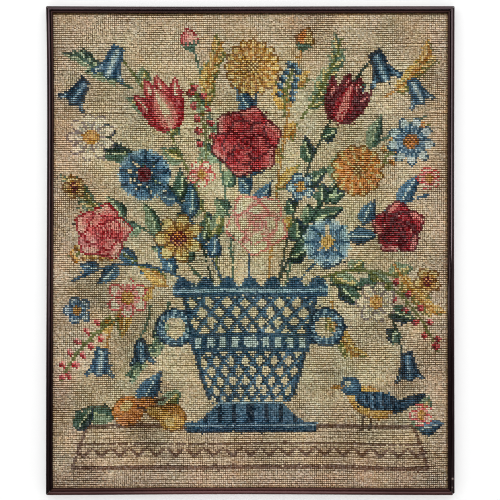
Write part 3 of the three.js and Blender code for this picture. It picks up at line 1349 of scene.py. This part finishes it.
class ClothSurface:
    """The frame model's cloth, which says where each stitch of the chart lies."""

    EDGE = 5 * MM
    SAMPLES = (49, 59)
    INSET = 0.001
    # For the left, right, bottom and top: how far in from the cloth's edge the moulding's shadow starts to
    # clear and how far it reaches on from there, in millimetres, and the least light left in it.
    SHADE = ((4.1, 1.7, 0.1), (4.6, 1.9, 0.12), (4.3, 1.8, 0.1), (5.2, 2.2, 0.03))

    def __init__(self, node: bpy.types.Object) -> None:
        """Measures the cloth's four edges and how far forward it stands.

        Args:
            node: the cloth's object in the frame model.
        """
        points = coordinates(node.data)
        self.low, self.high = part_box(node.name)
        self.width, self.height = self.high.x - self.low.x, self.high.z - self.low.z
        x, z = points[:, 0], points[:, 2]
        self.left = self.profile(z, x, x < self.low.x + self.EDGE)
        self.right = self.profile(z, x, x > self.high.x - self.EDGE)
        self.bottom = self.profile(x, z, z < self.low.z + self.EDGE)
        self.top = self.profile(x, z, z > self.high.z - self.EDGE)
        tree = BVHTree.FromObject(node, bpy.context.evaluated_depsgraph_get())
        grid = np.meshgrid(*(np.linspace(0, 1, count) for count in self.SAMPLES))
        across, up = self.place(*(share * (1 - 2 * self.INSET) + self.INSET for share in grid))
        self.front, self.back = (
            np.array([tree.ray_cast(Vector((px, start, pz)), Vector((0, -start, 0)))[0].y
                      for px, pz in zip(across.ravel(), up.ravel())]).reshape(across.shape)
            for start in (-1, 1)
        )

    @staticmethod
    def profile(along: Grid, value: Grid, near: Grid) -> tuple[Grid, Grid]:
        """One edge as a graph of its place along the edge."""
        order = np.argsort(along[near])
        return along[near][order], value[near][order]

    def place(self, s: Grid, t: Grid) -> tuple[Grid, Grid]:
        """Where points lie in metres, from shares of the way across and up.

        Args:
            s: shares of the way across.
            t: shares of the way up.

        Returns:
            The x and the z of each point.
        """
        x0 = self.low.x + s * self.width
        z0 = self.low.z + t * self.height
        x = (1 - s) * np.interp(z0, *self.left) + s * np.interp(z0, *self.right)
        z = (1 - t) * np.interp(x0, *self.bottom) + t * np.interp(x0, *self.top)
        return x, z

    def edge_light(self, s: Grid, t: Grid) -> Grid:
        """The share of light left beside the moulding.

        Args:
            s: shares of the way across.
            t: shares of the way up.

        Returns:
            The share for each point.
        """
        clear = (s * self.width, (1 - s) * self.width, t * self.height, (1 - t) * self.height)
        return np.minimum.reduce([
            np.clip((way / MM - start) / reach, least, 1)
            for way, (start, reach, least) in zip(clear, self.SHADE)
        ])

    def depth(self, s: Grid, t: Grid) -> Grid:
        """Where the cloth's face lies.

        Args:
            s: shares of the way across.
            t: shares of the way up.

        Returns:
            The y of each point.
        """
        rows, columns = self.front.shape
        u = np.clip(s, 0, 1) * (columns - 1)
        v = np.clip(t, 0, 1) * (rows - 1)
        i = np.minimum(u.astype(int), columns - 2)
        j = np.minimum(v.astype(int), rows - 2)
        fu, fv = u - i, v - j
        low, high = (self.front[k, i] * (1 - fu) + self.front[k, i + 1] * fu for k in (j, j + 1))
        return low * (1 - fv) + high * fv

    def map_flat(self, mesh: bpy.types.Mesh, name: str) -> None:
        """Lays a map over a piece as seen from the front, from 0 to 1 across the cloth.

        Args:
            mesh: the piece's mesh.
            name: the map's name.
        """
        points = coordinates(mesh)
        u = (points[:, 0] - self.low.x) / self.width
        v = (points[:, 2] - self.low.z) / self.height
        corners = np.empty(len(mesh.loops), dtype=np.int32)
        mesh.loops.foreach_get("vertex_index", corners)
        layer = mesh.uv_layers.new(name=name)
        layer.uv.foreach_set("vector", np.stack([u, v], 1)[corners].astype(np.float32).ravel())


# ---------------------------------------------------------------- needlework


@dataclass
class CrossStitch:
    """One cross stitch: two strands of wool, each a ridge that dives into a hole at both ends."""

    half_width: float = 1.14 * MM
    end_width: float = 0.7 * MM
    reach: float = 2.0 * MM
    crest: float = 1.0 * MM
    under_crest: float = 0.72 * MM
    flank: float = 0.12 * MM
    sink: float = 0.45 * MM

    LIGHT = {"crest": 1.13, "flank": 0.9, "hole": 0.36}

    def strand(self, turn: float, crest: float) -> bpy.types.Object:
        """Models one strand across the cell, from a plane cut into a ridge.

        Args:
            turn: the way it runs, in degrees.
            crest: how high it stands at its middle.

        Returns:
            The strand, lying in the plane z = 0 with its ridge upwards.
        """
        deselect()
        bpy.ops.mesh.primitive_plane_add(size=2)
        strand = bpy.context.object
        bpy.ops.object.mode_set(mode="EDIT")
        bpy.ops.mesh.subdivide(number_cuts=1)
        bpy.ops.object.mode_set(mode="OBJECT")
        for vertex in strand.data.vertices:
            u, v, _ = vertex.co
            width = self.end_width + (self.half_width - self.end_width) * (1 - abs(u))
            start = crest if abs(v) < 0.5 else -self.flank
            height = start - (max(start, 0.0) + self.sink) * abs(u)
            vertex.co = (u * self.reach, v * width, height)
        strand.rotation_euler.z = math.radians(turn)
        bpy.ops.object.transform_apply(location=False, rotation=True, scale=False)
        return strand

    def template(self) -> tuple[Grid, Grid, Grid]:
        """Models the stitch once.

        Returns:
            Its points as x across, y up and z forward, its faces, and each point's share of the light.
        """
        under = self.strand(45, self.under_crest)
        over = self.strand(-45, self.crest)
        under.select_set(True)
        bpy.ops.object.join()
        points = coordinates(over.data)
        faces = np.array([tuple(face.vertices) for face in over.data.polygons])
        out = np.hypot(points[:, 0], points[:, 1]) / self.reach
        low = np.where(out > 0.8, self.LIGHT["hole"], self.LIGHT["flank"])
        bpy.data.objects.remove(over)
        return points, faces, np.where(points[:, 2] > 0, self.LIGHT["crest"], low)


@dataclass
class Needlework:
    """The whole worked design: every stitch of the chart as strands of wool, in pieces by colour."""

    surface: ClothSurface
    chart: Chart
    stitch: CrossStitch
    bands: int = 3
    drift: float = 0.7 * MM
    column_shift: float = 0.055 * MM
    row_shift: float = 0.125 * MM
    side_shift: float = 0.2 * MM
    rise_shift: float = 0.14 * MM
    turn_spread: float = math.radians(9)
    size_spread: float = 0.1
    lift_spread: float = 0.15
    tone_spread: float = 0.125
    row_tone_spread: float = 0.06
    hue_spread: float = 0.012

    # A stitch's width and height against its pattern: the mean, the swing over the cloth, how many waves it
    # swings in, and the least and the most.
    WIDE = (1.39, 0.08, 6, 1.15, 1.5)
    TALL = (1.06, 0.12, 5, 0.84, 1.24)
    # The lots of tone, of warmth and of rosiness: each one's swing and waves, first the broad and then the
    # fine ones.
    LOTS = ((0.03, 3, 0.05, 12), (0.01, 4, 0.014, 13), (0.004, 5, 0.006, 11))
    # What pales a lit crest, partly dust and partly a painted highlight, how strongly hues deepen in painted
    # shade, the share of its colour that the wool keeps, and the brightest that it gets.
    DUST_AND_HIGHLIGHT = (0.66, 0.7, 0.72)
    DEEPEN = 1.3
    KEPT = 0.99
    BRIGHTEST = 0.94

    def __post_init__(self) -> None:
        """Draws how each stitch differs from its neighbours."""
        self.rng = np.random.default_rng(SEED)
        rows, columns = self.chart.wool.shape
        self.count = rows * columns
        width, height = self.surface.width / PITCH, self.surface.height / PITCH
        i, j = np.meshgrid(np.arange(columns), np.arange(rows))
        self.s = ((i + 0.5 + (width - columns) / 2) / width).ravel()
        self.t = ((j + 0.5 + (height - rows) / 2) / height).ravel()
        x, z = self.surface.place(self.s, self.t)
        calm = np.clip(np.minimum.reduce([self.s, 1 - self.s, self.t, 1 - self.t]) / 0.05, 0, 1)
        self.x = x + self.drift * calm * self.field(3.2)
        self.z = z + self.drift * calm * self.field(3.2)
        self.x += np.tile(self.vary(self.column_shift, columns), rows) * (1 + 0.5 * self.field(6))
        self.z += np.repeat(self.vary(self.row_shift, rows), columns) * (1 + 0.5 * self.field(6))
        self.x += self.vary(self.side_shift)
        self.z += self.vary(self.rise_shift)
        self.y = self.surface.depth(self.s, self.t)
        self.turn = self.vary(self.turn_spread)
        self.wide, self.tall = (
            np.clip(mean + swing * self.field(waves), least, most) + self.vary(self.size_spread)
            for mean, swing, waves, least, most in (self.WIDE, self.TALL)
        )
        self.tall += 0.08 * np.exp(-self.t / 0.12)
        self.lift = 1 + self.vary(self.lift_spread)
        self.glint = np.clip(1 + self.vary(self.size_spread), 0.76, 1.24)
        self.colour = self.dye_and_painted_shade()

    def field(self, waves: float, count: int = 5) -> Grid:
        """A smooth field over the stitches."""
        return wander(self.rng, self.s, self.t, waves, count)

    def vary(self, spread: float, count: int | None = None) -> Grid:
        """A chance difference with this spread for each stitch, or for a count of rows or columns."""
        return self.rng.normal(0, spread, count or self.count)

    def dye_and_painted_shade(self) -> Grid:
        """Each stitch's colour: its wool, its lot, how far it has faded, and painted light and shade over
        the cloth.

        Returns:
            A linear colour for each stitch.
        """
        base = byte_to_linear(np.array([wool.value[1] for wool in WOOLS], dtype=float))
        rows, columns = self.chart.wool.shape
        tone = self.vary(self.tone_spread)
        tone += np.repeat(self.vary(self.row_tone_spread, rows), columns)
        light, warm, rosy = (
            broad * self.field(waves) + fine * self.field(ripples, 9)
            for broad, waves, fine, ripples in self.LOTS
        )
        tone += light
        hue = np.stack([warm + rosy, -rosy, -1.5 * warm], 1)
        hue += self.rng.normal(0, self.hue_spread, (self.count, 3))
        # Painted light and shade: lighter towards the top and darker towards the foot. It is darker in the
        # corners too.
        # The middle is greener, and the edges have turned rosy.
        aside, aloft = 2 * self.s - 1, 2 * self.t - 1
        tone += 0.1 * aloft - 0.16 * (aside * aloft) ** 2
        edge = np.maximum(np.abs(aside), np.abs(aloft - 0.06)) ** 3
        hue += np.stack([0 * edge, 0.07 - 0.14 * edge, -0.015 - 0.03 * edge], 1)
        return base[self.chart.wool.ravel()] * np.exp(tone[:, None] + hue)

    def shaded(self, colour: Grid, light: Grid) -> Grid:
        """Wool in painted light or shade: deeper in hue where it is dark, paler on a lit crest, partly dust
        and partly painted highlight.

        Args:
            colour: linear colours, the last axis being red, green and blue.
            light: the share of light for each.

        Returns:
            The colours as they look there.
        """
        depth = colour / colour.max(axis=-1, keepdims=True)
        share = light[..., None]
        paleness = 0.5 + 1.1 * colour.mean(axis=-1, keepdims=True)
        # The paling of a lit crest: partly dust, partly a painted highlight.
        dust = np.clip(share - 1, 0, 1) * np.array(self.DUST_AND_HIGHLIGHT) * paleness
        seen = self.KEPT * colour * share * depth ** (self.DEEPEN * np.clip(1 - share, 0, 1)) + dust
        return seen * np.minimum(1, self.BRIGHTEST / seen.max(axis=-1, keepdims=True))

    def nearby(self, s: Grid, t: Grid, reach: int) -> Grid:
        """The mean colour of the stitches round some places.

        Args:
            s: shares of the way across.
            t: shares of the way up.
            reach: how many stitches it takes in on each side.

        Returns:
            A colour for each place.
        """
        rows, columns = self.chart.wool.shape
        span = 2 * reach + 1
        edges = ((reach, reach), (reach, reach), (0, 0))
        table = np.pad(self.colour.reshape(rows, columns, 3), edges, mode="edge")
        soft = sum(table[j:j + rows, i:i + columns] for j in range(span) for i in range(span)) / span**2
        i = np.clip((s * columns).astype(int), 0, columns - 1)
        j = np.clip((t * rows).astype(int), 0, rows - 1)
        return soft[j, i]

    def work(self, name: str, which: Grid, material: bpy.types.Material) -> bpy.types.Object:
        """Works a choice of stitches as one piece.

        Args:
            name: the piece's name.
            which: the stitches' numbers.
            material: its wool.

        Returns:
            The piece.
        """
        points, faces, light = self.template
        turn, wide, tall, lift, glint = (
            drawn[which][:, None] for drawn in (self.turn, self.wide, self.tall, self.lift, self.glint)
        )
        x, y, z, s, t = (known[which][:, None] for known in (self.x, self.y, self.z, self.s, self.t))
        u = (points[:, 0] * np.cos(turn) - points[:, 1] * np.sin(turn)) * wide
        v = (points[:, 0] * np.sin(turn) + points[:, 1] * np.cos(turn)) * tall
        rise = points[:, 2] * np.where(points[:, 2] > 0, lift, 1.0)
        place = np.stack([x + u, y + self.stitch.crest - rise, z + v], 2)
        offset = np.arange(len(which))[:, None, None] * len(points)
        piece = build_mesh(name, place.reshape(-1, 3), (faces[None] + offset).reshape(-1, faces.shape[1]))
        edges = self.surface.edge_light(s + u / self.surface.width, t + v / self.surface.height)
        # Painted light: lighter on the lit crests with their glints, darker on the flanks, in the holes and
        # by the moulding.
        share = light * np.where(light > 1, glint, 1.0) * edges
        paint(piece.data, self.shaded(self.colour[which][:, None], share).reshape(-1, 3))
        self.surface.map_flat(piece.data, STITCH_MAP)
        piece.data.materials.append(material)
        return piece

    def build(self) -> list[bpy.types.Object]:
        """Works every piece, the ground in bands and each other colour at once.

        Returns:
            The pieces.
        """
        self.template = self.stitch.template()
        family = np.array([list(Skein).index(wool.value[0]) for wool in WOOLS])[self.chart.wool.ravel()]
        band = (np.arange(self.count) * self.bands) // self.count
        pieces = []
        for number, skein in enumerate(Skein):
            for part in range(self.bands) if skein is Skein.GROUND else (None,):
                suffix = "" if part is None else f"_{part + 1}"
                chosen = (family == number) & (True if part is None else band == part)
                finish = WoolFinish().make(f"{skein.value}_wool{suffix}")
                name = f"stitches_{skein.value}{suffix}"
                pieces.append(self.work(name, np.flatnonzero(chosen), finish))
        return pieces


@dataclass
class CanvasSheet:
    """The canvas under the wool: one sheet, coloured between the stitches by the wool round them in painted
    shade.
    """

    surface: ClothSurface
    needlework: Needlework
    below: float = 1.0 * MM
    gap_light: float = 0.055
    gap_swing: float = 0.22
    gap_glow: float = 2.6
    back_light: float = 0.7

    def build(self) -> bpy.types.Object:
        """Models the sheet from a grid that is laid on the cloth's shape and given its thickness.

        Returns:
            The sheet.
        """
        deselect()
        bpy.ops.mesh.primitive_grid_add(x_subdivisions=ALL_COLUMNS, y_subdivisions=ALL_ROWS, size=1)
        sheet = bpy.context.object
        mesh = sheet.data
        sheet.name = mesh.name = "canvas_sheet"
        flat = coordinates(mesh)
        s, t = flat[:, 0] + 0.5, flat[:, 1] + 0.5
        x, z = self.surface.place(s, t)
        y = self.surface.depth(s, t) + self.below
        mesh.vertices.foreach_set("co", np.stack([x, y, z], 1).astype(np.float32).ravel())
        thickness = float(np.mean(self.surface.back - self.surface.front)) - self.below
        apply_modifier(sheet, "SOLIDIFY", thickness=thickness, offset=-1.0)
        for layer in list(mesh.uv_layers):
            mesh.uv_layers.remove(layer)
        self.surface.map_flat(mesh, SHEET_MAP)
        # The front takes the wools' colours blurred, in painted shade that is darker by the moulding and
        # lighter beside pale wool, and the back takes each one as it is, a little darker.
        near = np.concatenate([self.needlework.nearby(s, t, reach) for reach in (1, 0)])
        back = np.arange(len(mesh.vertices)) >= len(flat)
        both = (np.tile(s, 2), np.tile(t, 2))
        gap = self.gap_light * np.exp(self.gap_swing * wander(np.random.default_rng(SEED), *both, 7))
        gap *= (1 + self.gap_glow * near.mean(axis=1)) * self.surface.edge_light(*both)
        paint(mesh, self.needlework.shaded(near, np.where(back, self.back_light, gap)))
        mark(mesh, BEHIND, back)
        mesh.materials.clear()
        mesh.materials.append(CanvasFinish().make("canvas"))
        return sheet


# ---------------------------------------------------------------- frame


@dataclass
class WornRail:
    """One length of moulding, smoothed from the frame model's rail and eased along its edges."""

    node: str
    finish: WoodFinish
    flecks: tuple[Triple, ...] = ()
    ease: float = 0.35 * MM
    sharp: float = math.radians(50)
    smooth: float = math.radians(40)

    # The outer edge is traced by the rim's furthest vertices in each length of this many millimetres, to
    # within this slack.
    LENGTH = 40
    SLACK = 0.35

    def measure(self, mesh: bpy.types.Mesh, upright: bool) -> None:
        """Stores how far each vertex lies in from the moulding's outer edge, in millimetres.

        Args:
            mesh: the rail's mesh.
            upright: whether the rail stands upright.
        """
        points = coordinates(mesh) / MM
        along, over = (points[:, 2], points[:, 0]) if upright else (points[:, 0], points[:, 2])
        edge = over if self.node in ("frame_left", "frame_bottom") else -over
        rim = points[:, 1] > -1.0
        near = np.abs(along[rim][:, None] - along[rim][None]) < self.LENGTH
        outermost = edge[rim] - np.where(near, edge[rim][None], np.inf).min(axis=1) < self.SLACK
        order = np.argsort(along[rim][outermost])
        base = np.interp(along, along[rim][outermost][order], edge[rim][outermost][order])
        mark(mesh, ACROSS, edge - base)

    def build(self) -> bpy.types.Object:
        """Models the rail from a merged copy of the node, with its sharp edges worn round.

        Returns:
            The finished rail.
        """
        mesh = bpy.data.objects[self.node].data.copy()
        rail = place_object(self.node.replace("frame", "moulding"), mesh)
        pick(rail)
        bpy.ops.object.mode_set(mode="EDIT")
        bpy.ops.mesh.select_all(action="SELECT")
        bpy.ops.mesh.remove_doubles(threshold=0.01 * MM)
        bpy.ops.mesh.dissolve_limited(angle_limit=math.radians(0.05))
        bpy.ops.object.mode_set(mode="OBJECT")
        limit = {"limit_method": "ANGLE", "angle_limit": self.sharp}
        apply_modifier(rail, "BEVEL", width=self.ease, segments=2, **limit)
        pick(rail)
        bpy.ops.object.shade_smooth_by_angle(angle=self.smooth)
        low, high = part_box(self.node)
        upright = high.z - low.z > high.x - low.x
        self.measure(mesh, upright)
        mesh.materials.clear()
        mesh.materials.append(self.finish.make(f"{rail.name}_wood", upright, self.flecks))
        return rail


# ---------------------------------------------------------------- studio


@dataclass
class Studio:
    """Plain pale surroundings, soft light and a camera square to the worked face."""

    view_width: float = 769.1 * MM
    aim: Point = (-0.45 * MM, -373.1 * MM)
    distance: float = 3.2
    sensor: float = 36.0
    side: float = 9.0
    drop: float = 0.22
    gap: float = 1.5 * MM
    floor: StudioFinish = StudioFinish(0.88)
    backdrop: StudioFinish = StudioFinish(0.53, 0.4)
    air: float = 1.1
    lamp_size: Point = (2.4, 0.6)
    filter_width: float = 1.05

    # Each lamp's name, its place from the middle of the panel and its power in watts.
    LAMPS = (("lamp_high", (-0.2, -2.2, 1.2), 14.0), ("lamp_low", (0.1, -2.1, -1.7), 41.0))

    def surface(self, name: str, place: Triple, turn: float, material: bpy.types.Material) -> None:
        """Lays one plain square of the studio, tipped up from lying flat by a turn in radians.

        Args:
            name: the square's name.
            place: its middle.
            turn: how far it is tipped up.
            material: its finish.
        """
        deselect()
        bpy.ops.mesh.primitive_plane_add(size=self.side, location=place, rotation=(turn, 0, 0))
        plane = bpy.context.object
        plane.name = name
        bpy.ops.object.transform_apply(location=True, rotation=True, scale=True)
        plane.data.materials.append(material)

    def light(self, name: str, place: Vector, watts: float, target: Vector) -> None:
        """Hangs one soft oblong lamp that faces a point.

        Args:
            name: the lamp's name.
            place: where it hangs.
            watts: its power.
            target: the point that it faces.
        """
        lamp = bpy.data.lights.new(name, "AREA")
        lamp.shape = "RECTANGLE"
        lamp.energy = watts
        lamp.size, lamp.size_y = self.lamp_size
        holder = place_object(name, lamp)
        holder.location = place
        holder.rotation_euler = (target - place).to_track_quat("-Z", "Y").to_euler()

    def build(self) -> None:
        """Builds the surroundings, the lamps and the camera."""
        low, high = CAD_BOX
        ground_level = low.z - self.drop
        self.surface("studio_floor", (0, 0, ground_level), 0.0, self.floor.make("pale_floor"))
        wall = (0, high.y + self.gap, ground_level + self.side / 2)
        finish = self.backdrop.make("pale_backdrop", one_sided=True)
        self.surface("studio_backdrop", wall, math.pi / 2, finish)
        world = bpy.data.worlds.new("studio_air")
        bpy.context.scene.world = world
        world.use_nodes = True
        air = world.node_tree.nodes["Background"].inputs
        air["Color"].default_value = (1, 1, 1, 1)
        air["Strength"].default_value = self.air
        middle = (low + high) / 2
        for name, offset, watts in self.LAMPS:
            self.light(name, middle + Vector(offset), watts, middle)
        self.camera(low.y)

    def camera(self, front: float) -> None:
        """Sets the camera square to the panel's front, wide enough for it and a pale margin.

        Args:
            front: the y of the panel's front.
        """
        data = bpy.data.cameras.new("camera")
        data.sensor_width = self.sensor
        data.lens = self.sensor * self.distance / self.view_width
        holder = place_object("camera", data)
        holder.location = (self.aim[0], front - self.distance, self.aim[1])
        holder.rotation_euler = (math.pi / 2, 0, 0)
        scene = bpy.context.scene
        scene.camera = holder
        scene.view_settings.view_transform = "Standard"
        scene.cycles.pixel_filter_type = "BLACKMAN_HARRIS"
        scene.cycles.filter_width = self.filter_width


# ---------------------------------------------------------------- the panel


# Each rail's copy of the wood has its own painted highlight colour and painted shade. The bottom rail's wood
# is also lighter and redder all over.
RAIL_FINISHES = {
    "frame_top": WoodFinish(worn=(118, 97, 104), highlight_rub=(1.7, 6.0), highlight_and_wear=0.6),
    "frame_bottom": WoodFinish(
        dark=(72, 41, 39), red=(100, 58, 50), worn=(130, 98, 100), inner=(76, 49, 43),
        redness=0.4, highlight_and_wear=1.0, foot_shade=0.0, end_shade=0.5,
    ),
    "frame_left": WoodFinish(worn=(126, 106, 113)),
    "frame_right": WoodFinish(worn=(150, 132, 136), highlight_and_wear=0.95, foot_shade=0.85),
}
CHIPS = {"frame_right": ((0.307, -0.6593, 0.0024), (0.3113, -0.725, 0.0032), (0.3107, -0.7384, 0.0026))}


def fit(piece: bpy.types.Object) -> None:
    """Makes a finished piece part of the panel and reports it.

    Args:
        piece: the finished piece.
    """
    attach(piece, BODY)
    LOG.info("%s: %d faces", piece.name, len(piece.data.polygons))


def main() -> None:
    """Builds the studio, works the chart and fits it in its frame."""
    Studio().build()
    surface = ClothSurface(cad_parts[CLOTH_NODE])
    needlework = Needlework(surface, design(), CrossStitch())
    sheet = CanvasSheet(surface, needlework).build()
    work = needlework.build()
    for piece in [sheet, *work]:
        fit(piece)
    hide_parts(CLOTH_NODE)
    for node, finish in RAIL_FINISHES.items():
        rail = WornRail(node, finish, CHIPS.get(node, ())).build()
        fit(rail)
        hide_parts(node)


if __name__ == "__main__":
    logging.basicConfig(level=logging.INFO, format="%(message)s")
    main()
